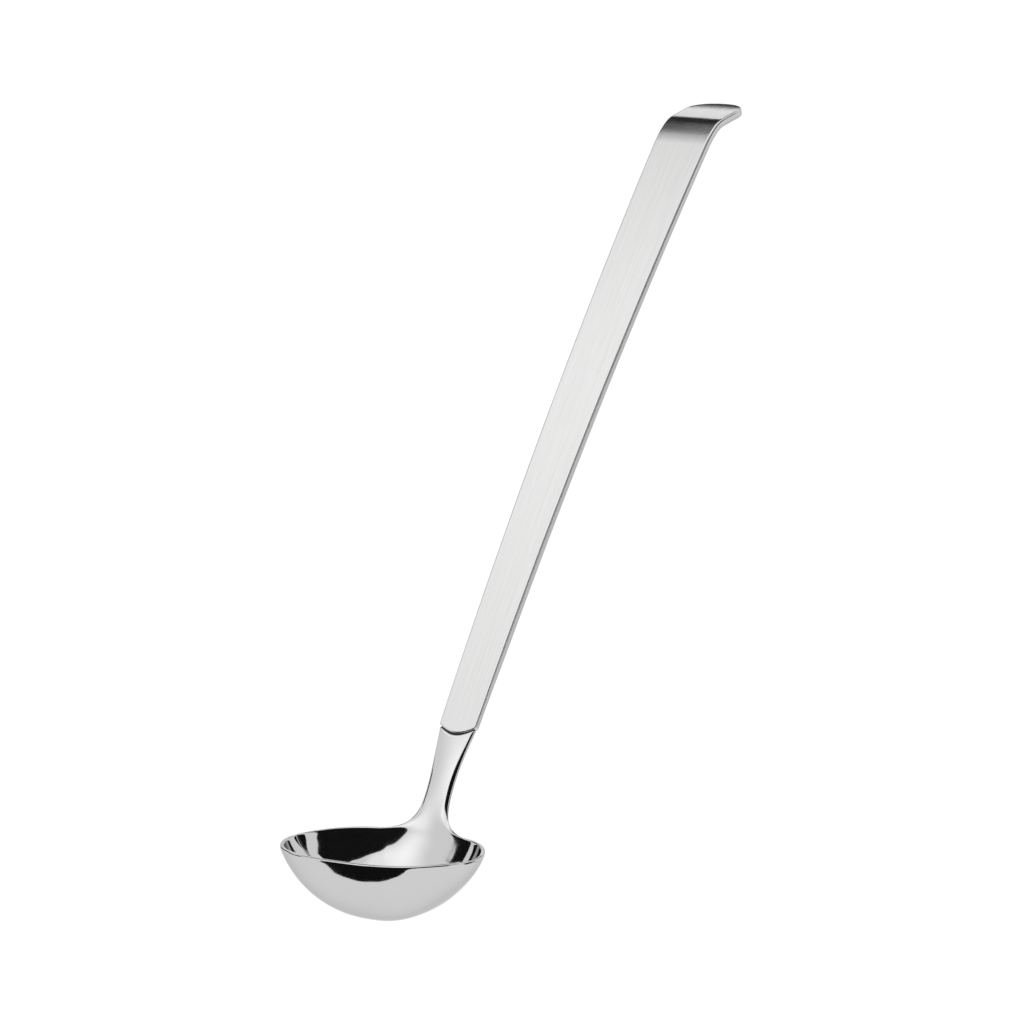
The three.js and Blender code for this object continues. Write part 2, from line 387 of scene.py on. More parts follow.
class Finish:
    """A node tree of a material or of the world, under construction."""

    def __init__(self, owner):
        owner.use_nodes = True
        self.tree = owner.node_tree
        self.tree.nodes.clear()

    def node(self, kind, settings=None, sockets=None, output=0):
        """Adds a node, sets it up, fills or links its sockets and returns one of its outputs."""
        made = self.tree.nodes.new(kind)
        for name, value in (settings or {}).items():
            setattr(made, name, value)
        for name, value in (sockets or {}).items():
            if isinstance(value, Socket):
                self.tree.links.new(value.socket, made.inputs[name])
            else:
                made.inputs[name].default_value = value
        if not made.outputs:
            return None
        return Socket(self, made.outputs[output])

    def noise(self, place, scale=1.0, detail=2.0, roughness=0.5):
        """Noise between 0 and 1 at a place."""
        return self.node(
            "ShaderNodeTexNoise",
            {"noise_dimensions": "3D"},
            {"Vector": place, "Scale": scale, "Detail": detail, "Roughness": roughness},
        )

    def stretched(self, place, scale):
        """A place with its axes stretched, for grain."""
        return self.node("ShaderNodeMapping", {}, {"Vector": place, "Scale": scale})

    def bump(self, strength, depth, height):
        """A bump of the surface, for a Normal socket."""
        sockets = {"Strength": strength, "Distance": depth, "Height": height}
        return self.node("ShaderNodeBump", {}, sockets)

    def shade_of(self, colour, factor):
        """A colour made darker or lighter by a factor that varies."""
        return self.node(
            "ShaderNodeVectorMath",
            {"operation": "SCALE"},
            {0: (*colour,), "Scale": factor},
        )

    def surface(self, shader):
        """Ends the tree with its output."""
        self.node("ShaderNodeOutputMaterial", {}, {"Surface": shader})


def steel_polished(colour, edge):
    """Mirror-polished sheet with faint polishing haze."""
    material = bpy.data.materials.new("polished_steel")
    finish = Finish(material)
    place = finish.node("ShaderNodeTexCoord", output="Object")
    haze = finish.noise(place, scale=60.0, detail=3.0)
    scuffs = finish.noise(finish.stretched(place, (220.0, 220.0, 900.0)), roughness=0.6)
    shader = finish.node(
        "ShaderNodeBsdfPrincipled",
        {},
        {
            "Base Color": finish.shade_of(colour, 0.97 + haze * 0.06),
            "Metallic": 1.0,
            "Specular Tint": (*edge, 1.0),
            "Roughness": 0.035 + haze * 0.03 + scuffs * 0.015,
            "Normal": finish.bump(strength=0.012, depth=0.0004, height=haze + scuffs * 0.15),
        },
    )
    finish.surface(shader)
    return material


def steel_brushed(colour, edge):
    """Bar brushed along its length: fine grain that follows the bar round its bend."""
    material = bpy.data.materials.new("brushed_steel")
    finish = Finish(material)
    place = finish.node("ShaderNodeUVMap", {"uv_map": "grain"})
    fine = finish.noise(finish.stretched(place, (5200.0, 60.0, 1.0)), detail=3.0, roughness=0.65)
    coarse = finish.noise(finish.stretched(place, (1500.0, 22.0, 1.0)))
    cloud = finish.noise(finish.stretched(place, (120.0, 40.0, 1.0)))
    streak = finish.noise(finish.stretched(place, (950.0, 30.0, 1.0)))
    grain = fine * 0.6 + coarse * 0.4
    shader = finish.node(
        "ShaderNodeBsdfPrincipled",
        {},
        {
            "Base Color": finish.shade_of(colour, 0.83 + grain * 0.2 + streak * 0.1 + cloud * 0.04),
            "Metallic": 1.0,
            "Specular Tint": (*edge, 1.0),
            "Roughness": 0.12 + grain * 0.07 + cloud * 0.03,
            "Normal": finish.bump(strength=0.12, depth=0.0002, height=grain),
        },
    )
    finish.surface(shader)
    return material


def steel_welded(colour):
    """Bead with a dull, slightly tinted skin."""
    material = bpy.data.materials.new("weld_steel")
    finish = Finish(material)
    place = finish.node("ShaderNodeTexCoord", output="Object")
    skin = finish.noise(place, scale=900.0, detail=4.0, roughness=0.6)
    shader = finish.node(
        "ShaderNodeBsdfPrincipled",
        {},
        {
            "Base Color": finish.shade_of(colour, 0.8 + skin * 0.4),
            "Metallic": 1.0,
            "Roughness": 0.35 + skin * 0.2,
            "Normal": finish.bump(strength=0.3, depth=0.0002, height=skin),
        },
    )
    finish.surface(shader)
    return material


def painted_groove_shade(colour):
    """Matt dark fill at the bottom of a groove, a painted shade of the groove."""
    material = bpy.data.materials.new("painted_groove_shade")
    finish = Finish(material)
    shader = finish.node(
        "ShaderNodeBsdfPrincipled",
        {},
        {"Base Color": (*colour, 1.0), "Metallic": 0.0, "Roughness": 0.7, "IOR": 1.2},
    )
    finish.surface(shader)
    return material


def floor_white(colour, strength, share_of_glow):
    """Pale floor that the camera and the steel see as white, with the shadow kept."""
    material = bpy.data.materials.new("floor_white")
    finish = Finish(material)
    matt = finish.node("ShaderNodeBsdfDiffuse", {}, {"Color": (*colour, 1.0)})
    glow = finish.node("ShaderNodeEmission", {}, {"Color": WHITE, "Strength": strength})
    camera = finish.node("ShaderNodeLightPath", output="Is Camera Ray")
    glossy = finish.node("ShaderNodeLightPath", output="Is Glossy Ray")
    through = finish.node("ShaderNodeLightPath", output="Is Transmission Ray")
    seen = (camera + glossy + through) * share_of_glow
    finish.surface(finish.node("ShaderNodeMixShader", {}, {0: seen, 1: matt, 2: glow}))
    return material


def card_matt(colour):
    """Card of one even shade."""
    material = bpy.data.materials.new("card_matt")
    finish = Finish(material)
    finish.surface(finish.node("ShaderNodeEmission", {}, {"Color": (*colour, 1.0), "Strength": 1.0}))
    return material


class LADLE_OT_head(bpy.types.Operator):
    """Models the bowl and its neck as one pressed sheet"""

    bl_idname = "ladle.head"
    bl_label = "Head"

    SEGMENTS = 48
    RINGS = 24
    ROOT_SEGMENTS = 5
    RIM_SUPPORT = math.radians(1.7)
    TOLERANCE = 1e-4
    NECK_ROWS = 10
    ROW_CROWDING = 1.8
    END_SUPPORT = 0.975
    ROW_STEP = 0.1
    SUBDIVISIONS = 3
    RELAX_TILT = math.radians(50)
    RELAX_ROWS = 4.5
    RELAX_FACTOR = 0.5
    RELAX_REPEATS = 6
    TONGUE_OVERLAP = 0.003
    TONGUE_SETBACK = 0.00008
    CREASE = math.radians(38)

    def execute(self, context):
        self.head = context.scene.ladle_head
        self.handle = context.scene.ladle_handle
        self.spine = Spine(self.head, self.handle)
        self.rim_tilt = math.pi / 2 - self.head.rim_lean
        self.rim_level = -math.cos(self.rim_tilt)
        self.centre = rim_middle(self.head)

        piece = start_piece(
            "bowl_and_neck",
            bpy.ops.mesh.primitive_uv_sphere_add,
            segments=self.SEGMENTS,
            ring_count=self.RINGS,
            radius=1.0,
        )
        cut((0, 0, self.rim_level), (0, 0, 1), clear_outer=True)
        cut((0, 0, -math.cos(self.rim_tilt - self.RIM_SUPPORT)), (0, 0, 1))
        self.raise_neck(piece)
        bpy.ops.object.mode_set(mode="OBJECT")
        flat = [vertex.co.copy() for vertex in piece.data.vertices]
        reshape(piece, self.press)
        self.relax_root(piece, flat)
        self.thicken(piece, flat)
        apply_modifier(
            piece,
            "SUBSURF",
            levels=self.SUBDIVISIONS,
            render_levels=self.SUBDIVISIONS,
        )
        face_outwards(piece)
        self.add_tongue(piece)
        colours = context.scene.ladle_colours
        material = steel_polished(colours.polished, colours.polished_edge)
        finish_piece(piece, "head", material, self.CREASE)
        return {"FINISHED"}

    def root_column(self, place):
        """Columns from the middle of the back, for a vertex at the rim or above it."""
        turn = math.atan2(place.x, place.y)
        return round(turn / (2 * math.pi / self.SEGMENTS))

    def raise_neck(self, piece):
        """Extrudes the back of the rim upwards, row by row."""

        def is_back_rim(ends):
            return all(
                abs(end.z - self.rim_level) < self.TOLERANCE
                and abs(self.root_column(end)) <= self.ROOT_SEGMENTS
                and end.y > 0
                for end in ends
            )

        choose_edges(piece, is_back_rim)
        for row in range(self.NECK_ROWS + 1):
            bpy.ops.mesh.extrude_region_move(
                TRANSFORM_OT_translate={"value": (0.0, 0.0, self.ROW_STEP)},
            )

    def neck_row(self, place):
        """Row of the neck that a vertex of the flat form belongs to, 0 at the rim."""
        return round((place.z - self.rim_level) / self.ROW_STEP)

    def press(self, place):
        """Where a vertex of the flat form goes in the pressed sheet's front face."""
        row = self.neck_row(place)
        if row >= 1:
            return self.neck_point(row, place)
        tilt = math.acos(max(-1.0, min(1.0, -place.z)))
        point = self.bowl_point(math.atan2(place.y, place.x), tilt)
        if row == 0 and abs(place.z - self.rim_level) < self.TOLERANCE:
            point.z += self.head.rim_rise
        return point

    def oval_radius(self, turn):
        """Radius of the rim's oval, without the lips, at a turn about its middle."""
        head = self.head
        across = abs(math.cos(turn) / (head.half_width - head.wall)) ** head.oval_power
        along = abs(math.sin(turn) / (head.half_length - head.wall)) ** head.oval_power
        return (across + along) ** (-1 / head.oval_power)

    def lip_share(self, turn, fall):
        """1 in the middle of a lip at the rim, and less beside it and below it."""
        head = self.head
        offset = head.half_width * math.sin(turn)
        across = math.exp(-((offset / head.lip_spread) ** 2))
        return across * (1 - smooth_step(fall, 0.0, head.lip_height))

    def bowl_point(self, turn, tilt):
        """A point of the bowl's inside, by its turn about the middle and its tilt from the bottom."""
        head = self.head
        reach = math.sin(tilt) / math.sin(self.rim_tilt)
        drop = (math.cos(tilt) - math.cos(self.rim_tilt)) / (1 - math.cos(self.rim_tilt))
        fall = (head.depth - head.wall) * drop
        lip = self.lip_share(turn, fall)
        radius = self.oval_radius(turn) * reach + head.lip_reach * lip
        height = -fall - head.lip_drop * lip
        offset = Vector((radius * math.cos(turn), radius * math.sin(turn), height))
        if offset.y > 0:
            offset.y += self.back_share(offset.x, fall) * head.bulge
        return self.centre + offset

    def back_share(self, across, fall):
        """1 in the middle of the rim's back, and less to the sides and below it."""
        head = self.head
        beside = math.exp(-((across / head.bulge_spread) ** 2))
        return beside * (1 - smooth_step(fall, 0.0, head.bulge_depth))

    def neck_end(self, side):
        """Distance of the neck's end from the rim, lowest in the middle of its arc."""
        head = self.head
        groove = mix(head.seam, head.seam_end, side**2)
        return head.neck_length + self.handle.end_sag * side**2 - groove

    def neck_half_width(self, distance, root):
        """Half the neck's width at a distance above the rim, from half its width at the root."""
        head = self.head
        waist = head.waist / 2
        flare = (root - waist) * math.exp(-distance / head.flare)
        above = max(0.0, distance - head.waist_height) / (head.neck_length - head.waist_height)
        return waist + flare + (head.neck_top / 2 - waist) * above**head.taper_power

    def neck_point(self, row, place):
        """A point of the neck's front face, by its row and column."""
        head = self.head
        side = self.root_column(place) / self.ROOT_SEGMENTS
        turn = math.atan2(place.y, place.x)
        rim = self.bowl_point(turn, self.rim_tilt)
        corner_turn = math.pi / 2 - self.ROOT_SEGMENTS * 2 * math.pi / self.SEGMENTS
        root = self.bowl_point(corner_turn, self.rim_tilt).x
        part = (min(row, self.NECK_ROWS) / self.NECK_ROWS) ** self.ROW_CROWDING
        if row == self.NECK_ROWS:
            part = self.END_SUPPORT
        distance = self.neck_end(side) * part
        depth = head.crown * side**2 * smooth_step(distance, 0.0, head.waist_height)
        depth += self.bulge(distance)
        if abs(side) == 1:
            depth += self.edge_drop(distance)
        flat = self.spine.point(distance, side * self.neck_half_width(distance, root), depth)
        start = self.spine.point(0.0, side * root, self.bulge(0.0))
        return flat + (rim - start) * math.exp(-distance / head.root_blend)

    def bulge(self, distance):
        """How far the neck lies back from the spine."""
        return self.head.bulge * (1 - smooth_step(distance, 0.0, self.head.bulge_end))

    def swell(self, distance):
        """0 at the rim and at the handle, and 1 where the neck is thickest."""
        head = self.head
        rise = smooth_step(distance, 0.0, head.swell_start)
        return rise * (1 - smooth_step(distance, head.swell_end, head.neck_length))

    def thickness(self, distance):
        """Thickness of the sheet at a distance above the rim."""
        head = self.head
        top = self.handle.thickness * self.handle.end_share
        plain = mix(head.wall, top, smooth_step(distance, 0.0, head.neck_length))
        return mix(plain, head.swell, self.swell(distance))

    def rib(self, place):
        """Thickness of the wall's back, where it runs up into the thicker neck."""
        head = self.head
        if place.y < self.centre.y:
            return head.wall
        across = math.exp(-((place.x / head.rib_spread) ** 2))
        height = abs(place.z - self.centre.z)
        return mix(head.wall, head.swell, across * (1 - smooth_step(height, 0.0, head.rib_depth)))

    def edge_drop(self, distance):
        """How far the neck's rounded edge lies behind its front."""
        head = self.head
        edge_share = mix(head.edge_share_top, head.edge_share, self.swell(distance))
        return self.thickness(distance) * edge_share

    def relax_root(self, piece, flat):
        """Smooths the sheet where the wall turns into the neck."""
        bpy.ops.object.mode_set(mode="EDIT")
        bpy.ops.mesh.select_mode(type="VERT")
        bpy.ops.mesh.select_all(action="DESELECT")
        bpy.ops.object.mode_set(mode="OBJECT")
        lowest = -math.cos(self.RELAX_TILT)
        highest = self.rim_level + self.RELAX_ROWS * self.ROW_STEP
        for vertex, place in zip(piece.data.vertices, flat):
            inner = abs(self.root_column(place)) < self.ROOT_SEGMENTS and place.y > 0
            vertex.select = inner and lowest < place.z < highest
        bpy.ops.object.mode_set(mode="EDIT")
        bpy.ops.mesh.vertices_smooth(factor=self.RELAX_FACTOR, repeat=self.RELAX_REPEATS)
        bpy.ops.object.mode_set(mode="OBJECT")

    def thicken(self, piece, flat):
        """Gives the sheet its thickness, with thinner edges along the neck that become round."""
        head = self.head
        group = piece.vertex_groups.new(name="thickness")
        for vertex, place in zip(piece.data.vertices, flat):
            row = max(0, min(self.neck_row(place), self.NECK_ROWS))
            distance = head.neck_length * (row / self.NECK_ROWS) ** self.ROW_CROWDING
            thickness = max(self.thickness(distance), self.rib(vertex.co))
            if row > 0 and abs(self.root_column(place)) == self.ROOT_SEGMENTS:
                thickness -= 2 * self.edge_drop(distance)
            group.add([vertex.index], thickness / head.swell, "REPLACE")
        apply_modifier(
            piece,
            "SOLIDIFY",
            thickness=head.swell,
            offset=1.0,
            use_even_offset=True,
            vertex_group=group.name,
            thickness_vertex_group=0.0,
        )

    def add_tongue(self, piece):
        """Joins the thin tongue that lies behind the bar to the neck's end."""
        handle = self.handle
        start = self.head.neck_length - self.TONGUE_OVERLAP
        end = self.head.neck_length + handle.tongue_length
        tongue = bar_block(
            "tongue",
            self.spine,
            handle.tongue_width,
            (start, end),
            (handle.thickness - handle.tongue_thickness, handle.thickness - self.TONGUE_SETBACK),
        )
        apply_modifier(piece, "BOOLEAN", operation="UNION", object=tongue, solver="EXACT")
        bpy.data.objects.remove(tongue)


def bar_block(name, spine, width, ends, depths):
    """A block that follows the spine between two distances, at a range of depths."""
    block = start_piece(name, bpy.ops.mesh.primitive_cube_add, size=1.0)
    bpy.ops.transform.resize(value=(width, ends[1] - ends[0], depths[1] - depths[0]))
    middle = (0.0, (ends[0] + ends[1]) / 2, -(depths[0] + depths[1]) / 2)
    bpy.ops.transform.translate(value=middle)
    cut(middle, (0, 1, 0))
    bpy.ops.object.mode_set(mode="OBJECT")
    if spine:
        reshape(block, lambda place: spine.point(place.y, place.x, -place.z))
    return block


class LADLE_OT_handle(bpy.types.Operator):
    """Models the handle as a flat blank that is milled, rounded and bent"""

    bl_idname = "ladle.handle"
    bl_label = "Handle"

    TIP_SEGMENTS = 14
    BLEND_ROWS = 6
    BAR_ROWS = 28
    BEND_ROWS = 30
    TIP_ROWS = 12
    COLUMNS = 8
    EDGE_SEGMENTS = 6
    EDGE_MARGIN = 1.35
    EDGE_ANGLE = math.radians(50)
    TOLERANCE = 1e-6
    CREASE = math.radians(32)

    def execute(self, context):
        self.head = context.scene.ladle_head
        self.sizes = context.scene.ladle_handle
        self.spine = Spine(self.head, self.sizes)
        piece = self.blank()
        apply_modifier(
            piece,
            "BEVEL",
            width=self.sizes.edge_radius,
            segments=self.EDGE_SEGMENTS,
            limit_method="ANGLE",
            angle_limit=self.EDGE_ANGLE,
        )
        self.cut_up(piece)
        self.mill_pocket(piece)
        self.mark_grain(piece)
        reshape(piece, self.bend)
        face_outwards(piece)
        colours = context.scene.ladle_colours
        material = steel_brushed(colours.brushed, colours.brushed_edge)
        finish_piece(piece, "handle", material, self.CREASE)
        return {"FINISHED"}

    def blank(self):
        """The flat bar at its full width, with a round tip."""
        sizes = self.sizes
        start = self.head.neck_length
        size = self.spine.end - start
        middle = start + size / 2
        piece = start_piece("handle_bar", bpy.ops.mesh.primitive_cube_add, size=1.0)
        bpy.ops.transform.resize(value=(sizes.upper_width, size, sizes.thickness))
        bpy.ops.transform.translate(value=(0.0, middle, -sizes.thickness / 2))

        def is_tip_corner(ends):
            upright = abs(ends[0].x - ends[1].x) < self.TOLERANCE
            return upright and all(end.y > middle for end in ends)

        choose_edges(piece, is_tip_corner)
        bpy.ops.mesh.bevel(offset=sizes.hook_rounding, segments=self.TIP_SEGMENTS, affect="EDGES")
        bpy.ops.object.mode_set(mode="OBJECT")
        return piece

    def cut_up(self, piece):
        """Makes the cuts that the bends need."""
        bpy.ops.object.mode_set(mode="EDIT")
        for distance in self.cut_distances():
            cut((0, distance, 0), (0, 1, 0))
        for across in self.cut_columns():
            cut((across, 0, 0), (1, 0, 0))
        bpy.ops.object.mode_set(mode="OBJECT")

    def cut_columns(self):
        """Even cuts along the bar, and one beside each rounded edge that keeps the face flat."""
        half = self.sizes.upper_width / 2
        beside = half - self.sizes.edge_radius * self.EDGE_MARGIN
        even = [mix(-half, half, column / self.COLUMNS) for column in range(1, self.COLUMNS)]
        return [-beside, *even, beside]

    def cut_distances(self):
        """Cuts across the bar: one beside its end, and even ones in each stretch."""
        start = self.head.neck_length
        blend_end = start + self.sizes.end_blend
        tip_start = self.spine.end - self.sizes.tip_length
        stretches = (
            (start, blend_end, self.BLEND_ROWS),
            (blend_end, self.spine.bend_start, self.BAR_ROWS),
            (self.spine.bend_start, self.spine.hook_start, self.BEND_ROWS),
        )
        distances = [start + self.sizes.edge_radius * self.EDGE_MARGIN]
        for low, high, rows in stretches:
            distances += [mix(low, high, row / rows) for row in range(1, rows + 1)]
        for row in range(self.TIP_ROWS):
            distances.append(mix(tip_start, self.spine.end, row / self.TIP_ROWS))
        return distances

    def mill_pocket(self, piece):
        """Cuts the pocket for the tongue and the bead into the back."""
        sizes = self.sizes
        gap = self.head.clearance
        start = self.head.neck_length - sizes.end_sag
        end = self.head.neck_length + sizes.tongue_length + gap + sizes.weld_length + gap
        blank_share = sizes.upper_width / self.width(self.head.neck_length + sizes.tongue_length / 2)
        floor = sizes.thickness - sizes.tongue_thickness - gap
        cutter = bar_block(
            "pocket",
            None,
            (sizes.tongue_width + 2 * gap) * blank_share,
            (start, end),
            (floor, sizes.thickness + sizes.tongue_thickness),
        )
        apply_modifier(piece, "BOOLEAN", operation="DIFFERENCE", object=cutter, solver="EXACT")
        bpy.data.objects.remove(cutter)

    def mark_grain(self, piece):
        """Keeps each corner's place in the flat blank as UV, for the grain."""
        mesh = piece.data
        layer = mesh.uv_layers.new(name="grain")
        for corner in mesh.loops:
            place = mesh.vertices[corner.vertex_index].co
            layer.data[corner.index].uv = (place.x + place.z, place.y)

    def width(self, distance):
        """Width of the bar at a distance along the spine."""
        part = (distance - self.head.neck_length) / self.sizes.bar_length
        return mix(self.sizes.lower_width, self.sizes.upper_width, max(0.0, min(part, 1.0)))

    def bend(self, place):
        """Where a point of the flat blank goes: tapered, its lower end arched, and bent."""
        sizes = self.sizes
        side = place.x / (sizes.upper_width / 2)
        rise = place.y - self.head.neck_length
        fade = max(0.0, 1 - rise / sizes.end_blend)
        distance = place.y + sizes.end_sag * side**2 * fade
        return self.spine.point(distance, side * self.width(place.y) / 2, -place.z)


class LADLE_OT_weld(bpy.types.Operator):
    """Models the bead behind the tongue and a dark fill in the groove that paints the groove's shade"""

    bl_idname = "ladle.weld"
    bl_label = "Weld bead"

    SEAM_SHARE = 0.9
    SEAM_OVERLAP = 0.0006
    SEAM_DEPTH = 0.22
    SEAM_FLOOR = 0.4
    RIPPLES = 9
    RIPPLE_SHARE = 1 / 12
    BEVEL_SHARE = 1 / 4
    BEVEL_SEGMENTS = 3
    BEVEL_ANGLE = math.radians(50)
    CUTS = 36
    CREASE = math.radians(60)

    def execute(self, context):
        scene = context.scene
        spine = Spine(scene.ladle_head, scene.ladle_handle)
        self.lay_bead(scene, spine)
        self.fill_seam(scene, spine)
        return {"FINISHED"}

    def cut_columns(self, width):
        """Cuts the active block across its width, so that it can follow a curve."""
        bpy.ops.object.mode_set(mode="EDIT")
        for column in range(1, self.CUTS):
            cut((mix(-width / 2, width / 2, column / self.CUTS), 0, 0), (1, 0, 0))
        bpy.ops.object.mode_set(mode="OBJECT")

    def lay_bead(self, scene, spine):
        """The rippled bead in the pocket behind the tongue."""
        head = scene.ladle_head
        sizes = scene.ladle_handle
        start = head.neck_length + sizes.tongue_length + head.clearance
        piece = bar_block(
            "weld",
            None,
            sizes.tongue_width,
            (start, start + sizes.weld_length),
            (sizes.thickness - sizes.tongue_thickness, sizes.thickness),
        )
        self.cut_columns(sizes.tongue_width)
        apply_modifier(
            piece,
            "BEVEL",
            width=sizes.tongue_thickness * self.BEVEL_SHARE,
            segments=self.BEVEL_SEGMENTS,
            limit_method="ANGLE",
            angle_limit=self.BEVEL_ANGLE,
        )
        ripple = sizes.tongue_thickness * self.RIPPLE_SHARE

        def settle(place):
            depth = -place.z
            if depth > sizes.thickness - sizes.tongue_thickness / 2:
                wave = math.cos(2 * math.pi * self.RIPPLES * place.x / sizes.tongue_width)
                depth -= ripple * (1 + wave)
            return spine.point(place.y, place.x, depth)

        reshape(piece, settle)
        face_outwards(piece)
        material = steel_welded(scene.ladle_colours.welded)
        finish_piece(piece, "weld_bead", material, self.CREASE)

    def fill_seam(self, scene, spine):
        """The dark fill at the bottom of the groove between the neck and the bar, a painted shade of the
        groove.
        """
        head = scene.ladle_head
        sizes = scene.ladle_handle
        width = head.neck_top * self.SEAM_SHARE
        piece = bar_block(
            "groove_shade_fill",
            None,
            width,
            (-self.SEAM_OVERLAP - head.seam, self.SEAM_OVERLAP),
            (sizes.thickness * self.SEAM_DEPTH, sizes.thickness * self.SEAM_FLOOR),
        )
        self.cut_columns(width)

        def follow(place):
            side = place.x / (sizes.lower_width / 2)
            distance = head.neck_length + sizes.end_sag * side**2 + place.y
            return spine.point(distance, place.x, -place.z)

        reshape(piece, follow)
        face_outwards(piece)
        # The groove's dark fill is painted shade, not the colour of a weld
        finish_piece(piece, None, painted_groove_shade(scene.ladle_colours.seam), self.CREASE)


class LADLE_OT_stage(bpy.types.Operator):
    """Sets up the floor, the cards, the world, the lamp and the camera"""

    bl_idname = "ladle.stage"
    bl_label = "Studio"

    CARD_CELLS = 160
    AIM_STEPS = 30
    VIEW_END = 50.0
    # Outline of each card: azimuth, lower edge and upper edge in degrees, from left to right
    FRONT_CARD = (
        (-50, -44.5, -42),
        (-48, -46, -38),
        (-46, -47.5, -31),
        (-43, -49, -15),
        (-40, -50, 0),
        (-38, -50.5, 12),
        (-37, -50.7, 17.5),
        (-29, -52.3, 19.5),
        (-21, -54.1, 22),
        (-19.6, -54.2, 26),
        (-19.4, -54.3, 33),
        (-19.2, -54.3, 36.3),
        (-18.5, -54.4, 38.3),
        (-13, -54.8, 41.6),
        (-4, -55, 45.3),
        (11, -53.7, 50.8),
        (16, -52.9, 52.8),
        (22, -50.4, 54.9),
        (27, -47.5, 56.6),
        (31, -39, 57.9),
        (35, -24, 58.9),
        (40, -9, 59.9),
        (50, 4, 61.4),
        (62, 4.7, 62.1),
        (75, 5.4, 63.2),
        (86, 6, 64.5),
        (89, 24, 64.5),
        (94, 32, 64.5),
        (100, 39.5, 64.5),
        (105.5, 43, 63),
        (112, 45, 61),
        (119.5, 46.5, 58),
        (127.5, 47.3, 55),
        (133, 51, 53),
    )
    RIGHT_CARD = ((112, -12, 26), (118, -12, 33), (126, -10, 37), (134, 6, 39), (150, 10, 41))
    LEFT_CARD = ((-89, 3, 17.5), (-80, 0, 21.5), (-72, -2, 25.5), (-66, -2, 28), (-62.3, -2, 30))
    SIDE_CARD = ((-126, 3, 12), (-120, 6, 28), (-104, 12, 29), (-94, 20, 33))
    HOOK_CARD = ((-165, 34, 53.5), (-147, 34.5, 56.5), (-120, 36, 61.5), (-108, 44, 62.5))
    GREY_CARD = ((135, -18, 3), (162, -18, 3))
    CARDS = {
        "front_card": FRONT_CARD,
        "right_card": RIGHT_CARD,
        "left_card": LEFT_CARD,
        "side_card": SIDE_CARD,
        "hook_card": HOOK_CARD,
    }
    TIP_CARD = ((-160, -16, 20.5), (-134, -16, 20.5))
    # Brighter and darker parts: azimuth, elevation, inner and outer radius in degrees, and gain
    GLOWS = (
        (-31, 34, 0, 17, 0.45),
        (-32, 62, 19, 29, 0.3),
        (35, 88, 4, 18, 0.6),
        (-147, 28, 4, 18, 0.85),
        (-89, 58, 4, 18, -0.42),
        (-57, 50, 0, 9, 0.14),
    )

    def execute(self, context):
        scene = context.scene
        self.studio = scene.ladle_studio
        self.colours = scene.ladle_colours
        self.rim = rim_middle(scene.ladle_head)
        scene.view_settings.view_transform = "Standard"
        self.floor()
        dark = card_matt(self.colours.card)
        for name, outline in self.CARDS.items():
            self.card(name, outline, dark, self.rim, self.studio.card_distance)
        grey = card_matt(self.colours.card_grey)
        self.card("grey_card", self.GREY_CARD, grey, self.rim, self.studio.card_distance)
        hook = Vector((0.0, scene.ladle_handle.hook_length / 2, 0.0))
        self.card("tip_card", self.TIP_CARD, dark, hook, self.studio.tip_distance)
        self.world(scene)
        self.lamp(scene)
        self.camera(scene)
        return {"FINISHED"}

    def towards(self, azimuth, elevation):
        """Direction by its angle to the right of the ladle's front and above the horizon."""
        level = math.cos(elevation)
        return Vector((math.sin(azimuth) * level, -math.cos(azimuth) * level, math.sin(elevation)))

    def floor(self):
        """A wide plain floor, white to the camera and in the steel."""
        studio = self.studio
        piece = start_piece("floor", bpy.ops.mesh.primitive_plane_add, size=studio.floor_size)
        bpy.ops.transform.translate(value=(0.0, self.rim.y, self.rim.z - studio.floor_drop))
        bpy.ops.object.mode_set(mode="OBJECT")
        white = floor_white(self.colours.floor, studio.floor_glow, studio.floor_glow_share)
        piece.data.materials.append(white)

    def card(self, name, outline, material, centre, distance):
        """A curved card round a place, seen in the steel only."""
        piece = start_piece(
            name,
            bpy.ops.mesh.primitive_grid_add,
            x_subdivisions=self.CARD_CELLS,
            y_subdivisions=self.CARD_CELLS,
            size=1.0,
        )
        bpy.ops.object.mode_set(mode="OBJECT")

        def curve(place):
            azimuth = mix(outline[0][0], outline[-1][0], place.x + 0.5)
            low, high = outline[-1][1:]
            for left, right in zip(outline, outline[1:]):
                if azimuth <= right[0]:
                    part = (azimuth - left[0]) / (right[0] - left[0])
                    low = mix(left[1], right[1], part)
                    high = mix(left[2], right[2], part)
                    break
            elevation = mix(low, high, place.y + 0.5)
            way = self.towards(math.radians(azimuth), math.radians(elevation))
            return centre + way * distance

        reshape(piece, curve)
        piece.data.materials.append(material)
        piece.visible_camera = False
        piece.visible_diffuse = False
        piece.visible_shadow = False
        piece.visible_transmission = False

    def world(self, scene):
        """White all round, with brighter and darker parts that only the steel shows."""
        world = bpy.data.worlds.new("studio_white")
        scene.world = world
        finish = Finish(world)
        way = finish.node("ShaderNodeTexCoord", output="Generated")
        glow = sum(self.glow(finish, way, *spot) for spot in self.GLOWS)
        camera = finish.node("ShaderNodeLightPath", output="Is Camera Ray")
        strength = 1 + glow * (1 - camera)
        light = finish.node("ShaderNodeBackground", {}, {"Color": WHITE, "Strength": strength})
        finish.node("ShaderNodeOutputWorld", {}, {"Surface": light})

    def glow(self, finish, way, azimuth, elevation, inner, outer, gain):
        """More or less light in one direction, which fades outwards."""
        middle = self.towards(math.radians(azimuth), math.radians(elevation))
        cosine = finish.node(
            "ShaderNodeVectorMath",
            {"operation": "DOT_PRODUCT"},
            {0: way, 1: middle},
            output="Value",
        )
        turn = finish.node("ShaderNodeMath", {"operation": "ARCCOSINE"}, {0: cosine})
        return finish.node(
            "ShaderNodeMapRange",
            {"interpolation_type": "SMOOTHSTEP"},
            {
                "Value": turn,
                "From Min": math.radians(outer),
                "From Max": math.radians(inner),
                "To Min": 0.0,
                "To Max": gain,
            },
        )

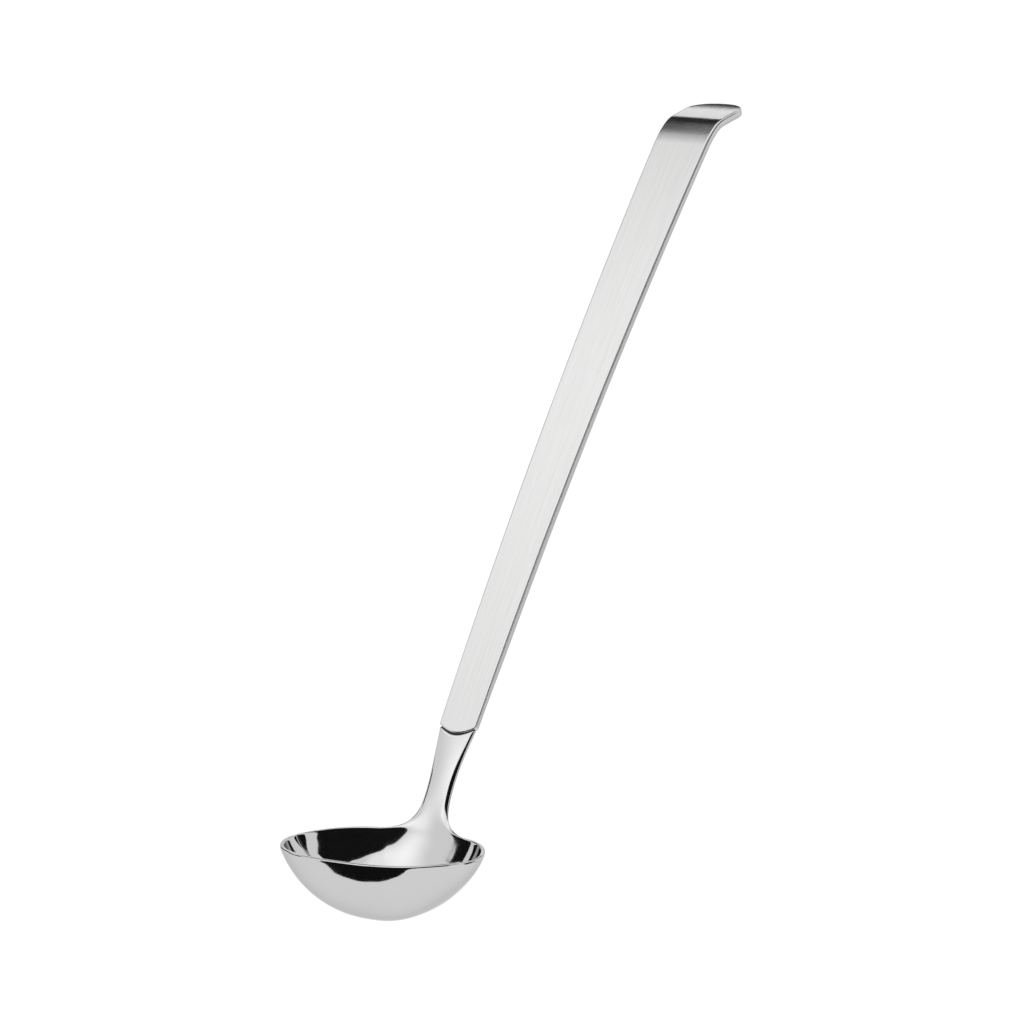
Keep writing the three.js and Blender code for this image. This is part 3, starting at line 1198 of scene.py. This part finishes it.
    def lamp(self, scene):
        """A soft lamp above the left of the ladle, for the shadow on the floor."""
        studio = self.studio
        data = bpy.data.lights.new("soft_lamp", "AREA")
        data.size = studio.lamp_size
        data.energy = studio.lamp_power
        lamp = bpy.data.objects.new("soft_lamp", data)
        scene.collection.objects.link(lamp)
        way = self.towards(studio.lamp_azimuth, studio.lamp_elevation)
        lamp.location = self.rim + way * studio.lamp_distance
        lamp.rotation_euler = way.to_track_quat("Z", "Y").to_euler()
        lamp.visible_glossy = False

    def camera(self, scene):
        """A camera at the photograph's angle, with its axis through the middle of the picture."""
        studio = self.studio
        focal = studio.view_scale * studio.view_distance
        azimuth = studio.view_azimuth
        elevation = studio.view_elevation
        place = self.rim + self.towards(azimuth, elevation) * studio.view_distance
        offset = self.rim - place
        half = PHOTO_WIDTH / 2
        for _ in range(self.AIM_STEPS):
            right, up, back = self.camera_axes(azimuth, elevation)
            ahead = -offset.dot(back)
            azimuth -= (half + focal * offset.dot(right) / ahead - studio.rim_across) / focal
            elevation += (half - focal * offset.dot(up) / ahead - studio.rim_down) / focal
        data = bpy.data.cameras.new("camera")
        data.sensor_width = SENSOR_WIDTH
        data.lens = focal * SENSOR_WIDTH / PHOTO_WIDTH
        data.clip_end = self.VIEW_END
        camera = bpy.data.objects.new("camera", data)
        scene.collection.objects.link(camera)
        turn = Matrix(self.camera_axes(azimuth, elevation)).transposed()
        camera.matrix_world = Matrix.Translation(place) @ turn.to_4x4()
        scene.camera = camera

    def camera_axes(self, azimuth, elevation):
        """Right, up and back of a camera that looks from there, with the picture's roll."""
        back = self.towards(azimuth, elevation)
        right = Vector((math.cos(azimuth), math.sin(azimuth), 0.0))
        up = back.cross(right)
        turn_cos = math.cos(self.studio.view_roll)
        turn_sin = math.sin(self.studio.view_roll)
        return right * turn_cos - up * turn_sin, right * turn_sin + up * turn_cos, back


class LADLE_PT_panel(bpy.types.Panel):
    """Lists the ladle's pieces, sizes and colours"""

    bl_idname = "LADLE_PT_panel"
    bl_label = "Sauce ladle"
    bl_space_type = "VIEW_3D"
    bl_region_type = "UI"
    bl_category = "Ladle"

    def draw(self, context):
        layout = self.layout
        for operator in OPERATORS:
            layout.operator(operator.bl_idname)
        for name in GROUPS:
            group = getattr(context.scene, name)
            box = layout.box()
            for key in group.__annotations__:
                box.prop(group, key)


OPERATORS = (LADLE_OT_head, LADLE_OT_handle, LADLE_OT_weld, LADLE_OT_stage)
GROUPS = {
    "ladle_head": HeadSizes,
    "ladle_handle": HandleSizes,
    "ladle_colours": FinishColours,
    "ladle_studio": StudioSizes,
}
CLASSES = (*GROUPS.values(), *OPERATORS, LADLE_PT_panel)


def register():
    for each in CLASSES:
        bpy.utils.register_class(each)
    for name, group in GROUPS.items():
        setattr(bpy.types.Scene, name, bpy.props.PointerProperty(type=group))


def unregister():
    for name in GROUPS:
        delattr(bpy.types.Scene, name)
    for each in reversed(CLASSES):
        bpy.utils.unregister_class(each)


def main():
    register()
    bpy.ops.ladle.head()
    bpy.ops.ladle.handle()
    bpy.ops.ladle.weld()
    bpy.ops.ladle.stage()


if __name__ == "__main__":
    main()
